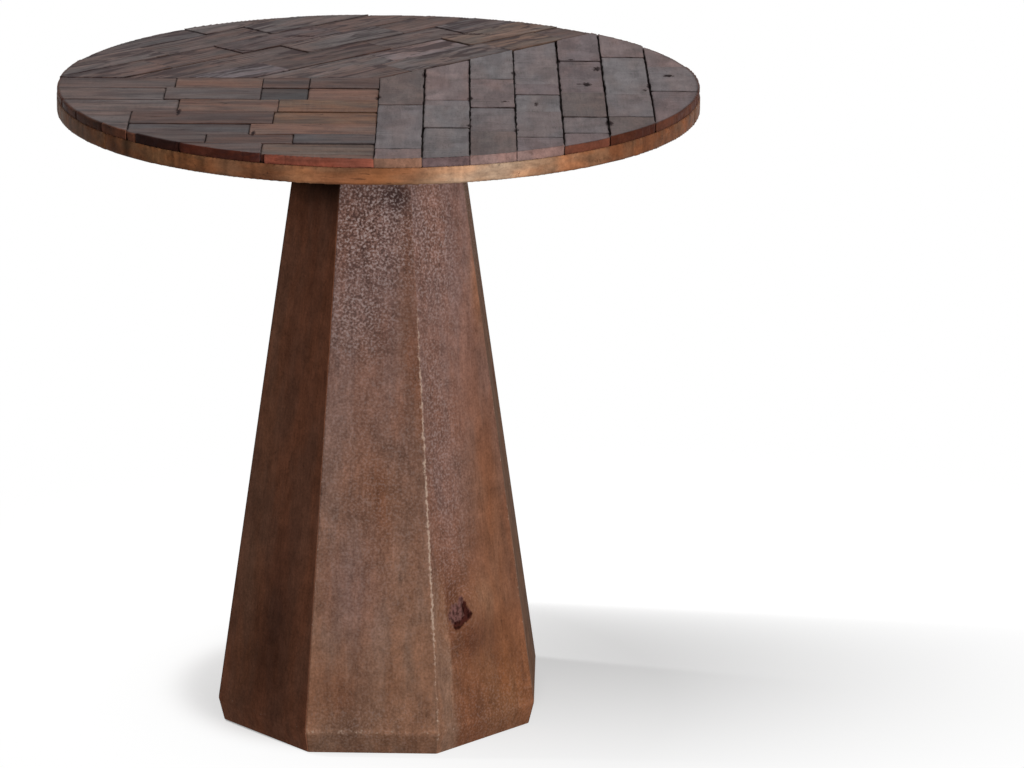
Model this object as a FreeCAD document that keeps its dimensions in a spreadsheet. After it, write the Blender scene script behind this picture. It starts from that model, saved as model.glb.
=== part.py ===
import FreeCAD, Part
import math
import os
import Sketcher

# Round side table: a mosaic of wood blocks on a board of planks, bolted to a plate
# on a hollow eight-sided pedestal of mitred staves.
# The origin is on the floor, under the middle of the top. The front faces -Y.

os.makedirs("parts", exist_ok=True)
doc = FreeCAD.newDocument("pedestal_table")
Vector = FreeCAD.Vector
Placement = FreeCAD.Placement
Rotation = FreeCAD.Rotation
up = Vector(0, 0, 1)

# Driving sizes, in millimetres, degrees and counts
driving_sizes = {
    # the round top
    "top_diameter": 610,
    "core_thickness": 16,
    "core_edge_easing": 1,
    "plank_width": 122,
    "block_height": 9,
    "block_unevenness": 1.2,
    "block_width": 43,
    "strip_gap": 1.2,
    "block_end_gap": 0.8,
    "mosaic_rim_step": 0.5,
    "mosaic_turn": 1.5,
    "hub_setback": 15,
    # the staves of the pedestal
    "pedestal_height": 582.5,
    "foot_across": 307,
    "neck_across": 149,
    "foot_bevel_height": 23,
    "foot_bevel_inset": 5.3,
    "stave_wall": 20,
    # the loose tongues in the mitres
    "tongue_thickness": 4,
    "tongue_width": 14,
    "tongue_depth_from_corner": 13,
    "tongue_end_margin": 45,
    "tongue_clearance": 0.2,
    # the pieces inside the pedestal
    "neck_block_height": 45,
    "brace_level": 290,
    "brace_thickness": 18,
    "brace_bore": 50,
    "foot_plate_thickness": 20,
    "cleat_width": 70,
    "cleat_depth": 24,
    "cleat_height": 24,
    # the plate under the top
    "plate_overhang": 50.5,
    "plate_thickness": 16,
    "bolt_setback": 20,
    "bolt_diameter": 6,
    "bolt_length": 25,
    "bolt_head_across": 10,
    "bolt_head_height": 4,
    "washer_diameter": 18,
    "washer_thickness": 1.6,
    "insert_diameter": 9,
    "insert_length": 12,
    "insert_bore_spare": 1,
    # wood screws
    "neck_screw_setback": 19.5,
    "neck_screw_diameter": 5,
    "neck_screw_head": 10,
    "neck_screw_length": 45,
    "foot_screw_setback": 11,
    "foot_screw_diameter": 4,
    "foot_screw_head": 8,
    "foot_screw_length": 35,
    "screw_tip_length": 5,
    # the glides
    "glide_setback": 19,
    "glide_diameter": 20,
    "glide_thickness": 3.5,
    "glide_stand": 1.5,
    "nail_head": 6,
    "nail_head_height": 1,
    "nail_diameter": 2.2,
    "nail_length": 16,
    # clearances and the overrun of cutting tools
    "bolt_clearance": 0.3,
    "screw_clearance": 0.1,
    "insert_clearance": 0.1,
    "glide_clearance": 0.3,
    "cut_overrun": 5,
}

# The staves in order round the pedestal, anticlockwise from above
stave_names = ("front", "front_right", "right", "back_right",
               "back", "back_left", "left", "front_left")
facet_count = len(stave_names)
facet_angle = 360 / facet_count
front_angle = -90
bolt_count = 4
neck_screw_count = 4

sheet = doc.addObject("Spreadsheet::Sheet", "sizes")
for row, (name, size) in enumerate(driving_sizes.items(), start=1):
    sheet.set("A%d" % row, name)
    sheet.set("B%d" % row, str(size))
    sheet.setAlias("B%d" % row, name)
doc.recompute()


# Sizes that follow from the driving ones, as expressions over the sheet

def half(size):
    return "sizes.%s / 2" % size


neck_level = "(sizes.glide_stand + sizes.pedestal_height)"
bevel_level = "(sizes.glide_stand + sizes.foot_bevel_height)"
core_level = "(%s + sizes.plate_thickness)" % neck_level
block_level = "(%s + sizes.core_thickness)" % core_level
cleat_level = "(sizes.glide_stand + sizes.foot_plate_thickness)"
top_radius = "(%s)" % half("top_diameter")


# Distance from the axis to the flat outside of the pedestal, at a height above the floor
def outer_reach(level):
    rise = "(%s - %s) / (%s - %s)" % (neck_level, level, neck_level, bevel_level)
    spread = "(sizes.foot_across - sizes.neck_across) / 2"
    return "(sizes.neck_across / 2 + %s * %s)" % (spread, rise)


def inner_reach(level):
    return "(%s - sizes.stave_wall)" % outer_reach(level)


# Distance from the axis to the pedestal's corner, for a given distance to its flat
def corner_reach(flat_reach):
    return "(%s / cos(%g))" % (flat_reach, facet_angle / 2)


# Distances from the axis to the fastenings, each set back from the edge of what it holds
plate_reach = "(sizes.neck_across / 2 + sizes.plate_overhang)"
bolt_reach = "(%s - sizes.bolt_setback)" % plate_reach
neck_screw_reach = "(%s - sizes.neck_screw_setback)" % inner_reach(neck_level)
foot_screw_reach = "(%s - sizes.foot_screw_setback)" % inner_reach(cleat_level)
glide_reach = "(%s - sizes.glide_setback)" % corner_reach(inner_reach("sizes.glide_stand"))


# Sketches and features

def origin_feature(body, role):
    return next(item for item in body.Origin.OriginFeatures if item.Role == role)


def new_body(label):
    body = doc.addObject("PartDesign::Body", label)
    body.Label = label
    return body


def new_sketch(body, label, role, shift=None, turn=0):
    sketch = body.newObject("Sketcher::SketchObject", label)
    sketch.AttachmentSupport = [(origin_feature(body, role), "")]
    sketch.MapMode = "FlatFace"
    sketch.AttachmentOffset = Placement(Vector(), Rotation(up, turn))
    for axis, distance in (shift or {}).items():
        sketch.setExpression("AttachmentOffset.Base." + axis, distance)
    return sketch


# A closed outline whose corners are pairs of expressions, measured from the sketch's origin
def draw_outline(sketch, corners):
    count = len(corners)
    ring = [Vector(math.cos(2 * math.pi * i / count), math.sin(2 * math.pi * i / count), 0)
            for i in range(count)]
    for i in range(count):
        sketch.addGeometry(Part.LineSegment(ring[i], ring[(i + 1) % count]))
    for i in range(count):
        sketch.addConstraint(Sketcher.Constraint("Coincident", i, 2, (i + 1) % count, 1))
    for i, corner in enumerate(corners):
        for kind, distance in zip(("DistanceX", "DistanceY"), corner):
            index = sketch.addConstraint(Sketcher.Constraint(kind, -1, 1, i, 1, 1.0))
            sketch.setExpression("Constraints[%d]" % index, distance)


# A flat-sided ring outline, with a flat facing the sketch's X axis
def polygon_corners(flat_reach, sides):
    step = 360 / sides
    corners = []
    for i in range(sides):
        angle = step * (i + 0.5)
        radius = "%s / cos(%g)" % (flat_reach, step / 2)
        corners.append(("%s * cos(%g)" % (radius, angle), "%s * sin(%g)" % (radius, angle)))
    return corners


def flat_outline(body, label, level, corners, turn=0):
    sketch = new_sketch(body, label, "XY_Plane", {"z": level}, turn)
    draw_outline(sketch, corners)
    return sketch


def loft(body, kind, label, sketches):
    feature = body.newObject("PartDesign::" + kind, label)
    feature.Profile = sketches[0]
    feature.Sections = sketches[1:]
    feature.Ruled = True
    return feature


# A turned shape on an axis that stands at a distance along X from the body's own axis
def turned(body, kind, label, distance, level, profile):
    sketch = new_sketch(body, label + "_profile", "XZ_Plane", {"x": distance, "y": level})
    draw_outline(sketch, profile)
    feature = body.newObject("PartDesign::" + kind, label)
    feature.Profile = sketch
    feature.ReferenceAxis = (sketch, ["V_Axis"])
    feature.Angle = 360
    return feature


def repeat_round(body, features, count):
    pattern = body.newObject("PartDesign::PolarPattern", features[0].Label + "_ring")
    pattern.Originals = features
    pattern.Axis = (origin_feature(body, "Z_Axis"), [""])
    pattern.Angle = 360
    pattern.Occurrences = count
    body.Tip = pattern
    return pattern


def turn_body(body, angle):
    body.Placement = Placement(Vector(), Rotation(up, angle))


# Profiles of turned shapes, as radius and height from the sketch's origin

def rod_profile(radius, low, high):
    return [("0", low), (radius, low), (radius, high), ("0", high)]


def tube_profile(inner, outer, low, high):
    return [(inner, low), (outer, low), (outer, high), (inner, high)]


# A countersunk wood screw that points down from its head, or up where way is "-1"
def screw_profile(kind, way):
    head = half(kind + "_head")
    shank = half(kind + "_diameter")
    length = "sizes.%s_length" % kind
    return [("0", "0"),
            (head, "0"),
            (shank, "-(%s) * (%s - %s)" % (way, head, shank)),
            (shank, "-(%s) * (%s - sizes.screw_tip_length)" % (way, length)),
            ("0", "-(%s) * %s" % (way, length))]


# The same screw's clearance hole, which starts above the head and runs past a given depth
def screw_hole_profile(kind, way, depth):
    head = "(%s + sizes.screw_clearance)" % half(kind + "_head")
    shank = "(%s + sizes.screw_clearance)" % half(kind + "_diameter")
    return [("0", "(%s) * sizes.cut_overrun" % way),
            (head, "(%s) * sizes.cut_overrun" % way),
            (head, "0"),
            (shank, "-(%s) * (%s - %s)" % (way, head, shank)),
            (shank, "-(%s) * (%s)" % (way, depth)),
            ("0", "-(%s) * (%s)" % (way, depth))]


# The board of planks under the mosaic

def make_core():
    blank = new_body("core_blank")
    easing = "sizes.core_edge_easing"
    thickness = "sizes.core_thickness"
    turned(blank, "Revolution", "core_disc", "0", core_level,
           [("0", "0"),
            ("%s - %s" % (top_radius, easing), "0"),
            (top_radius, easing),
            (top_radius, thickness),
            ("0", thickness)])

    bores = new_body("insert_bores")
    bore_radius = "%s + sizes.insert_clearance" % half("insert_diameter")
    bore_depth = "sizes.insert_length + sizes.insert_bore_spare"
    bore = turned(bores, "Revolution", "insert_bore", bolt_reach, core_level,
                  rod_profile(bore_radius, "-sizes.cut_overrun", bore_depth))
    repeat_round(bores, [bore], bolt_count)
    turn_body(bores, facet_angle)

    count = strip_count(sheet.top_diameter, sheet.plank_width)
    return [make_plank(index, count, blank, bores) for index in range(count)]


# The first and last plank take up what the whole planks leave at the rim
def make_plank(index, count, blank, bores):
    first = index == 0
    last = index == count - 1
    whole = "sizes.plank_width"
    low = "-%s - sizes.cut_overrun" % top_radius if first else "%s * (%g)" % (whole, index - count / 2)
    high = "%s + sizes.cut_overrun" % top_radius if last else "%s * (%g)" % (whole, index + 1 - count / 2)
    span = doc.addObject("Part::Box", "plank_span")
    span.setExpression("Length", "2 * (%s + sizes.cut_overrun)" % top_radius)
    span.setExpression("Width", "%s - (%s)" % (high, low))
    span.setExpression("Height", "sizes.core_thickness")
    span.setExpression("Placement.Base.x", "-%s - sizes.cut_overrun" % top_radius)
    span.setExpression("Placement.Base.y", low)
    span.setExpression("Placement.Base.z", core_level)

    board = doc.addObject("Part::Common", "plank_board")
    board.Base = blank
    board.Tool = span
    plank = doc.addObject("Part::Cut", "core_plank_%d" % (index + 1))
    plank.Base = board
    plank.Tool = bores
    return plank


# How many strips of one width fill a distance. A rest under a quarter of a strip joins the last one.
def strip_count(distance, width):
    least_rest_share = 0.25
    return max(1, math.ceil(distance / width - least_rest_share))


# The mosaic: three fields turn round the hub like a pinwheel. Each begins at its own ray
# from the hub, sweeps anticlockwise, and is laid in strips that run along that ray.
# Widths are shares of the block width. Joints are shares of the top's radius along the
# strip, from the hub outwards.
mosaic_fields = [
    {
        "name": "column",
        "ray": -90,
        "sweep": 135,
        "width_shares": (1.0, 1.0, 0.98, 1.0, 0.98, 1.0, 1.0),
        "joint_shares": ((0.36, 0.92),
                         (0.28, 0.36, 0.65),
                         (0.0, 0.38, 0.695),
                         (0.065, 0.21, 0.44, 0.77),
                         (-0.27, 0.18, 0.50, 0.70),
                         (-0.32, 0.20, 0.50),
                         (-0.19, 0.15)),
    },
    {
        "name": "diagonal",
        "ray": 45,
        "sweep": 135,
        "width_shares": (1.0, 1.0, 1.0, 1.0, 1.0, 1.0, 1.0),
        "joint_shares": ((0.14, 0.59, 0.83),
                         (0.22, 0.55),
                         (-0.12, 0.33, 0.66),
                         (0.10, 0.52),
                         (-0.36, -0.06, 0.38),
                         (-0.25, 0.20),
                         (0.04,)),
    },
    {
        "name": "row",
        "ray": 180,
        "sweep": 90,
        "width_shares": (1.0, 1.12, 1.12, 1.12, 0.94, 0.8, 0.92, 1.0),
        "joint_shares": ((0.215, 0.36, 0.63),
                         (0.215, 0.36, 0.655),
                         (0.30, 0.605),
                         (0.31, 0.74),
                         (0.375, 0.74),
                         (0.24, 0.50),
                         (0.33,),
                         ()),
    },
]
# How far below the highest blocks each block stands, as shares of the unevenness
sink_shares = (0.0, 0.7, 0.25, 1.0, 0.45, 0.1, 0.85, 0.55, 0.3)


def make_mosaic():
    rim = doc.addObject("Part::Cylinder", "mosaic_rim")
    rim.setExpression("Radius", "%s - sizes.mosaic_rim_step" % top_radius)
    rim.setExpression("Height", "sizes.block_height")
    rim.setExpression("Placement.Base.z", block_level)
    strips = []
    for field in mosaic_fields:
        strips += make_field(field, rim)
    return strips


def make_field(field, rim):
    sector = doc.addObject("Part::Cylinder", field["name"] + "_sector")
    sector.Angle = field["sweep"]
    sector.setExpression("Radius", "sizes.top_diameter")
    sector.setExpression("Height", "sizes.block_height")
    place_at_hub(sector, field["ray"], block_level)
    area = doc.addObject("Part::Common", field["name"] + "_area")
    area.Base = rim
    area.Tool = sector

    radius = sheet.top_diameter / 2
    away = radius + sheet.hub_setback * -math.sin(math.radians(field["ray"] + 90))
    count = strip_count(away, sheet.block_width)
    widths = field["width_shares"]
    strips = []
    start = 0
    for index in range(count):
        width = widths[index % len(widths)]
        last = index == count - 1
        strips.append(make_strip(field, index, start, width, last, area))
        start += width
    return strips


def place_at_hub(thing, ray, level):
    thing.Placement = Placement(Vector(), Rotation(up, ray))
    thing.setExpression("Placement.Base.y", "sizes.hub_setback")
    thing.setExpression("Placement.Base.z", level)


def make_strip(field, index, start_share, width_share, last, area):
    joints = field["joint_shares"][index % len(field["joint_shares"])]
    beyond_rim_share = 2
    ends = (-beyond_rim_share,) + joints + (beyond_rim_share,)
    start = "sizes.block_width * %g" % start_share
    width = "sizes.top_diameter" if last else "sizes.block_width * %g" % width_share
    blocks = []
    for place in range(len(ends) - 1):
        near, far = ends[place], ends[place + 1]
        sink_share = sink_shares[(place * 2 + index) % len(sink_shares)]
        block = doc.addObject("Part::Box", "block")
        block.setExpression("Length", "%s * %g - sizes.block_end_gap" % (top_radius, far - near))
        block.setExpression("Width", "%s - sizes.strip_gap" % width)
        block.setExpression("Height", "sizes.block_height - sizes.block_unevenness * %g" % sink_share)
        block.setExpression("Placement.Base.x", "%s * %g + sizes.block_end_gap / 2" % (top_radius, near))
        block.setExpression("Placement.Base.y", "%s + sizes.strip_gap / 2" % start)
        blocks.append(block)
    row = doc.addObject("Part::Compound", "block_row")
    row.Links = blocks
    place_at_hub(row, field["ray"], block_level)
    strip = doc.addObject("Part::Common", "mosaic_%s_%d" % (field["name"], index + 1))
    strip.Base = row
    strip.Tool = area
    strip.setExpression("Placement.Rotation.Angle", "sizes.mosaic_turn")
    return strip


# The eight staves, each made facing +X and turned to its place. Their mitres meet
# on the rays through the pedestal's corners.

def stave_corners(level, outside=None):
    inside = inner_reach(level)
    outside = outside or outer_reach(level)
    slope = "tan(%g)" % (facet_angle / 2)
    return [(inside, "-%s * %s" % (inside, slope)),
            (outside, "-%s * %s" % (outside, slope)),
            (outside, "%s * %s" % (outside, slope)),
            (inside, "%s * %s" % (inside, slope))]


# Cross-section of a tongue or its groove, level, with the sketch's X axis along the mitre
def tongue_corners(level, clearance):
    middle = "(%s - sizes.tongue_depth_from_corner)" % corner_reach(outer_reach(level))
    near = "%s - sizes.tongue_thickness / 2 - %s" % (middle, clearance)
    far = "%s + sizes.tongue_thickness / 2 + %s" % (middle, clearance)
    side = "(sizes.tongue_width / 2 + %s)" % clearance
    return [(near, "-" + side), (far, "-" + side), (far, side), (near, side)]


def tongue_loft(body, kind, label, turn, clearance):
    margin = "sizes.tongue_end_margin - %s" % clearance
    levels = ("(sizes.glide_stand + %s)" % margin, "(%s - (%s))" % (neck_level, margin))
    sketches = [flat_outline(body, "%s_end_%d" % (label, number), level,
                             tongue_corners(level, clearance), turn)
                for number, level in enumerate(levels, start=1)]
    return loft(body, kind, label, sketches)


def make_stave(name, angle):
    stave = new_body("stave_" + name)
    foot_reach = "(sizes.foot_across / 2 - sizes.foot_bevel_inset)"
    sections = [flat_outline(stave, "foot_section", "sizes.glide_stand",
                             stave_corners("sizes.glide_stand", foot_reach)),
                flat_outline(stave, "bevel_section", bevel_level, stave_corners(bevel_level)),
                flat_outline(stave, "neck_section", neck_level, stave_corners(neck_level))]
    loft(stave, "AdditiveLoft", "board", sections)
    for side, turn in (("left", facet_angle / 2), ("right", -facet_angle / 2)):
        tongue_loft(stave, "SubtractiveLoft", side + "_groove", turn, "sizes.tongue_clearance")
    turn_body(stave, angle)
    return stave


def make_tongues():
    tongues = new_body("corner_tongues")
    tongue = tongue_loft(tongues, "AdditiveLoft", "tongue", facet_angle / 2, "0")
    repeat_round(tongues, [tongue], facet_count)
    return tongues


# Pieces inside the pedestal, which follow the inside faces of the staves

def inside_board(label, low, high):
    body = new_body(label)
    sketches = [flat_outline(body, "lower_face", low, polygon_corners(inner_reach(low), facet_count)),
                flat_outline(body, "upper_face", high, polygon_corners(inner_reach(high), facet_count))]
    loft(body, "AdditiveLoft", label + "_board", sketches)
    return body


def make_neck_block():
    low = "(%s - sizes.neck_block_height)" % neck_level
    block = inside_board("neck_block", low, neck_level)
    depth = "sizes.neck_screw_length - sizes.plate_thickness"
    pilot = turned(block, "Groove", "pilot_hole", neck_screw_reach, neck_level,
                   rod_profile("%s + sizes.screw_clearance" % half("neck_screw_diameter"),
                               "-(%s)" % depth, "sizes.cut_overrun"))
    repeat_round(block, [pilot], neck_screw_count)
    turn_body(block, facet_angle)
    return block


def make_middle_brace():
    high = "(sizes.brace_level + sizes.brace_thickness)"
    brace = inside_board("middle_brace", "sizes.brace_level", high)
    turned(brace, "Groove", "middle_hole", "0", "sizes.brace_level",
           rod_profile(half("brace_bore"), "-sizes.cut_overrun",
                       "sizes.brace_thickness + sizes.cut_overrun"))
    return brace


def make_foot_plate():
    plate = inside_board("foot_plate", "sizes.glide_stand", cleat_level)
    hole = turned(plate, "Groove", "screw_hole", foot_screw_reach, "sizes.glide_stand",
                  screw_hole_profile("foot_screw", "-1", "sizes.foot_plate_thickness + sizes.cut_overrun"))
    repeat_round(plate, [hole], facet_count)
    recess_depth = "(sizes.glide_thickness - sizes.glide_stand)"
    corner_x = "%s * cos(%g)" % (glide_reach, facet_angle / 2)
    corner_y = "%s * sin(%g)" % (glide_reach, facet_angle / 2)
    recess = round_pocket(plate, "glide_recess", corner_x, corner_y,
                          "%s + sizes.glide_clearance" % half("glide_diameter"), recess_depth)
    repeat_round(plate, [recess], facet_count)
    nail_hole = round_pocket(plate, "nail_hole", corner_x, corner_y,
                             "%s + sizes.screw_clearance" % half("nail_diameter"),
                             "sizes.nail_length")
    repeat_round(plate, [nail_hole], facet_count)
    return plate


# A round blind hole in the underside of the foot plate
def round_pocket(body, label, x, y, radius, depth):
    sketch = new_sketch(body, label + "_circle", "XY_Plane", {"x": x, "y": y, "z": "sizes.glide_stand"})
    sketch.addGeometry(Part.Circle(Vector(), up, 1.0))
    sketch.addConstraint(Sketcher.Constraint("Coincident", 0, 3, -1, 1))
    index = sketch.addConstraint(Sketcher.Constraint("Radius", 0, 1.0))
    sketch.setExpression("Constraints[%d]" % index, radius)
    pocket = body.newObject("PartDesign::Pocket", label)
    pocket.Profile = sketch
    pocket.Reversed = True
    pocket.setExpression("Length", depth)
    return pocket


def make_foot_cleats():
    cleats = new_body("foot_cleats")
    high = "(%s + sizes.cleat_height)" % cleat_level
    side = half("cleat_width")
    sketches = []
    for name, level in (("lower", cleat_level), ("upper", high)):
        near = "(%s - sizes.cleat_depth)" % inner_reach(cleat_level)
        far = inner_reach(level)
        corners = [(near, "-" + side), (far, "-" + side), (far, side), (near, side)]
        sketches.append(flat_outline(cleats, name + "_face", level, corners))
    cleat = loft(cleats, "AdditiveLoft", "cleat", sketches)
    depth = "sizes.foot_screw_length - sizes.foot_plate_thickness"
    pilot = turned(cleats, "Groove", "cleat_pilot_hole", foot_screw_reach, cleat_level,
                   rod_profile("%s + sizes.screw_clearance" % half("foot_screw_diameter"),
                               "-sizes.cut_overrun", depth))
    repeat_round(cleats, [cleat, pilot], facet_count)
    return cleats


# The plate between pedestal and top

def make_mounting_plate():
    plate = new_body("mounting_plate")
    outline = flat_outline(plate, "plate_outline", neck_level,
                           polygon_corners(plate_reach, facet_count))
    board = plate.newObject("PartDesign::Pad", "plate_board")
    board.Profile = outline
    board.setExpression("Length", "sizes.plate_thickness")
    screw_hole = turned(plate, "Groove", "plate_screw_hole", neck_screw_reach, core_level,
                        screw_hole_profile("neck_screw", "1", "sizes.plate_thickness + sizes.cut_overrun"))
    repeat_round(plate, [screw_hole], neck_screw_count)
    bolt_hole = turned(plate, "Groove", "bolt_hole", bolt_reach, neck_level,
                       rod_profile("%s + sizes.bolt_clearance" % half("bolt_diameter"),
                                   "-sizes.cut_overrun", "sizes.plate_thickness + sizes.cut_overrun"))
    repeat_round(plate, [bolt_hole], bolt_count)
    turn_body(plate, facet_angle)
    return plate


# Fasteners, each kind one group of separate pieces

def ring_of(label, distance, level, profile, count, turn=0):
    body = new_body(label)
    piece = turned(body, "Revolution", label + "_one", distance, level, profile)
    repeat_round(body, [piece], count)
    turn_body(body, turn)
    return body


def make_screws():
    plate_screws = ring_of("mounting_screws", neck_screw_reach, core_level,
                           screw_profile("neck_screw", "1"), neck_screw_count, facet_angle)
    foot_screws = ring_of("foot_plate_screws", foot_screw_reach, "sizes.glide_stand",
                          screw_profile("foot_screw", "-1"), facet_count)
    return [plate_screws, foot_screws]


# Hexagon-headed bolts that go up through the mounting plate into the inserts
def make_top_bolts():
    bolts = new_body("top_bolts")
    head_top = "(%s - sizes.washer_thickness)" % neck_level
    head_low = "(%s - sizes.bolt_head_height)" % head_top
    sketch = new_sketch(bolts, "head_outline", "XY_Plane", {"x": bolt_reach, "z": head_low})
    draw_outline(sketch, polygon_corners(half("bolt_head_across"), 6))
    head = bolts.newObject("PartDesign::Pad", "head")
    head.Profile = sketch
    head.setExpression("Length", "sizes.bolt_head_height")
    shank = turned(bolts, "Revolution", "shank", bolt_reach, head_top,
                   rod_profile(half("bolt_diameter"), "0", "sizes.bolt_length"))
    repeat_round(bolts, [head, shank], bolt_count)
    turn_body(bolts, facet_angle)
    return bolts


def make_bolt_fittings():
    bore = "%s + sizes.bolt_clearance" % half("bolt_diameter")
    washers = ring_of("bolt_washers", bolt_reach, neck_level,
                      tube_profile(bore, half("washer_diameter"), "-sizes.washer_thickness", "0"),
                      bolt_count, facet_angle)
    thread = "%s + sizes.insert_clearance" % half("bolt_diameter")
    inserts = ring_of("threaded_inserts", bolt_reach, core_level,
                      tube_profile(thread, half("insert_diameter"), "0", "sizes.insert_length"),
                      bolt_count, facet_angle)
    return [washers, inserts]


# Nylon glides with their nails, one under each corner of the foot
def make_glides():
    head = half("nail_head")
    shank = half("nail_diameter")
    clear_head = "%s + sizes.screw_clearance" % head
    clear_shank = "%s + sizes.screw_clearance" % shank
    head_step = "2 * sizes.nail_head_height"
    outside = half("glide_diameter")
    glides = ring_of("foot_glides", glide_reach, "0",
                     [(clear_head, "0"),
                      (outside, "0"),
                      (outside, "sizes.glide_thickness"),
                      (clear_shank, "sizes.glide_thickness"),
                      (clear_shank, head_step),
                      (clear_head, head_step)],
                     facet_count, facet_angle / 2)
    nails = ring_of("glide_nails", glide_reach, "sizes.nail_head_height",
                    [("0", "0"),
                     (head, "0"),
                     (head, "sizes.nail_head_height"),
                     (shank, "sizes.nail_head_height"),
                     (shank, "sizes.nail_length - sizes.nail_diameter"),
                     ("0", "sizes.nail_length")],
                    facet_count, facet_angle / 2)
    return [glides, nails]


pieces = make_core()
pieces += make_mosaic()
for position, name in enumerate(stave_names):
    pieces.append(make_stave(name, front_angle + position * facet_angle))
pieces.append(make_tongues())
pieces.append(make_neck_block())
pieces.append(make_middle_brace())
pieces.append(make_foot_plate())
pieces.append(make_foot_cleats())
pieces.append(make_mounting_plate())
pieces += make_screws()
pieces.append(make_top_bolts())
pieces += make_bolt_fittings()
pieces += make_glides()
doc.recompute()

for item in doc.Objects:
    if "Invalid" in item.State or "Error" in item.State:
        raise RuntimeError("failed: " + item.Label)
for piece in pieces:
    if piece.Shape.isNull() or not piece.Shape.isValid():
        raise RuntimeError("no valid shape: " + piece.Label)
for piece in pieces:
    piece.Shape.exportStep("parts/%s.step" % piece.Label)
    print(piece.Label, len(piece.Shape.Solids), "solids", round(piece.Shape.Volume), "mm3")
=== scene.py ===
import math
import bpy
import numpy as np
from mathutils import Matrix, Vector


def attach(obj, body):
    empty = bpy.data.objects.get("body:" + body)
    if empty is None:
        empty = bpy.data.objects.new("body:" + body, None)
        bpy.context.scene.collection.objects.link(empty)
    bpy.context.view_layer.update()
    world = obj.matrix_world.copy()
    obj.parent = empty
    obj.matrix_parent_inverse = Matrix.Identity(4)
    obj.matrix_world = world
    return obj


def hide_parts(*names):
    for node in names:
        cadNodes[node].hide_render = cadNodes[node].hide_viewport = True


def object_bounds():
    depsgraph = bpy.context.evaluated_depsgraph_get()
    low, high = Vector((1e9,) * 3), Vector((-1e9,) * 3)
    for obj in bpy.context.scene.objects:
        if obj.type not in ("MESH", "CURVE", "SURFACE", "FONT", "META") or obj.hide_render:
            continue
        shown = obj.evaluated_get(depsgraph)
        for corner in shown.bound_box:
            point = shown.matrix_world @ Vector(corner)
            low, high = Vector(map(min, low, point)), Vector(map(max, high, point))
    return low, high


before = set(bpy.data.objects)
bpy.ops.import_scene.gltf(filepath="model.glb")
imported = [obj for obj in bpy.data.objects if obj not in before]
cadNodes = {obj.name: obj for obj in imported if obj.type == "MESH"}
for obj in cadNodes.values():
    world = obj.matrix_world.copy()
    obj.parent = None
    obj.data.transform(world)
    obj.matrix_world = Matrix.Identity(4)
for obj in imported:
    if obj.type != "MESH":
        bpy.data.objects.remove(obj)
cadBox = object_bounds()
topRadius = round(cadBox[1][0], 4)
tableHeight = round(cadBox[1][2], 4)
print("frame loaded:", len(cadNodes), "nodes")


# selecting, copying and finishing pieces

def pickOnly(*pieces):
    bpy.ops.object.select_all(action="DESELECT")
    for piece in pieces:
        piece.select_set(True)
    bpy.context.view_layer.objects.active = pieces[0]


def editMode(wanted):
    bpy.ops.object.mode_set(mode="EDIT" if wanted else "OBJECT")


def newObject(name, data=None):
    made = bpy.data.objects.new(name, data)
    bpy.context.scene.collection.objects.link(made)
    return made


def copyNode(nodeName, pieceName):
    piece = newObject(pieceName, cadNodes[nodeName].data.copy())
    piece.data.name = pieceName
    piece.data.materials.clear()
    pickOnly(piece)
    editMode(True)
    bpy.ops.mesh.select_all(action="SELECT")
    bpy.ops.mesh.remove_doubles(threshold=0.00001)  # the copy comes as loose triangles
    editMode(False)
    return piece


def turnAboutAxis(angle, *pieces):  # degrees about the table's own axis
    pickOnly(*pieces)
    for piece in pieces:
        piece.rotation_euler.z += math.radians(angle)
    bpy.ops.object.transform_apply(location=False, rotation=True, scale=False)


def applyModifiers(piece):
    pickOnly(piece)
    for modifier in list(piece.modifiers):
        bpy.ops.object.modifier_apply(modifier=modifier.name)


def remesh(piece, voxel):
    modifier = piece.modifiers.new("remesh", "REMESH")
    modifier.mode = "VOXEL"
    modifier.voxel_size = voxel
    applyModifiers(piece)


def pointData(piece):  # coordinates and normals of the vertices, one row each
    count = len(piece.data.vertices)
    places = np.zeros(count * 3, np.float32)
    normals = np.zeros(count * 3, np.float32)
    piece.data.vertices.foreach_get("co", places)
    piece.data.vertices.foreach_get("normal", normals)
    return places.reshape(-1, 3), normals.reshape(-1, 3)


def movePoints(piece, places):
    piece.data.vertices.foreach_set("co", places.ravel())
    piece.data.update()


def rise(value, low, high):
    share = np.clip((value - low) / (high - low), 0, 1)
    return share * share * (3 - 2 * share)


def riseFrom(value, start, reach):  # the same, measured from a place
    return rise(value, start + reach[0], start + reach[1])


def paintPoints(piece, name, values):  # a number, a vector or a colour for each point
    width = values.size // len(values)
    kind, field = {1: ("FLOAT", "value"), 3: ("FLOAT_VECTOR", "vector"), 4: ("FLOAT_COLOR", "color")}[width]
    attribute = piece.data.attributes.new(name, kind, "POINT")
    attribute.data.foreach_set(field, values.astype(np.float32).ravel())


def paintBoard(piece, colour, shift):  # its tone, and how far the pattern is moved on it
    count = len(colour)
    paintPoints(piece, "boardTone", np.hstack([colour, np.ones((count, 1))]))
    paintPoints(piece, "boardShift", np.broadcast_to(shift, (count, 3)))


def between(first, second, share):
    return first * (1 - share) + second * share


def paint(red, green, blue):  # a colour as a paint program shows it, 0 to 255
    def straight(part):
        part /= 255
        return part / 12.92 if part <= 0.04045 else ((part + 0.055) / 1.055) ** 2.4
    return (straight(red), straight(green), straight(blue), 1.0)


def palette(**tones):
    return {name: np.array(paint(*tone)[:3]) for name, tone in tones.items()}


# camera, floor and light

cameraLook = {
    "lens": 165.4,
    "distance": 4.3597,  # from the table's axis, level
    "height": 1.626,
    "azimuth": 2.5,      # degrees to the right of straight ahead
    "heading": 0.812,
    "tilt": 16.604,      # downwards
    "roll": 0.473,
}


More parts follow.
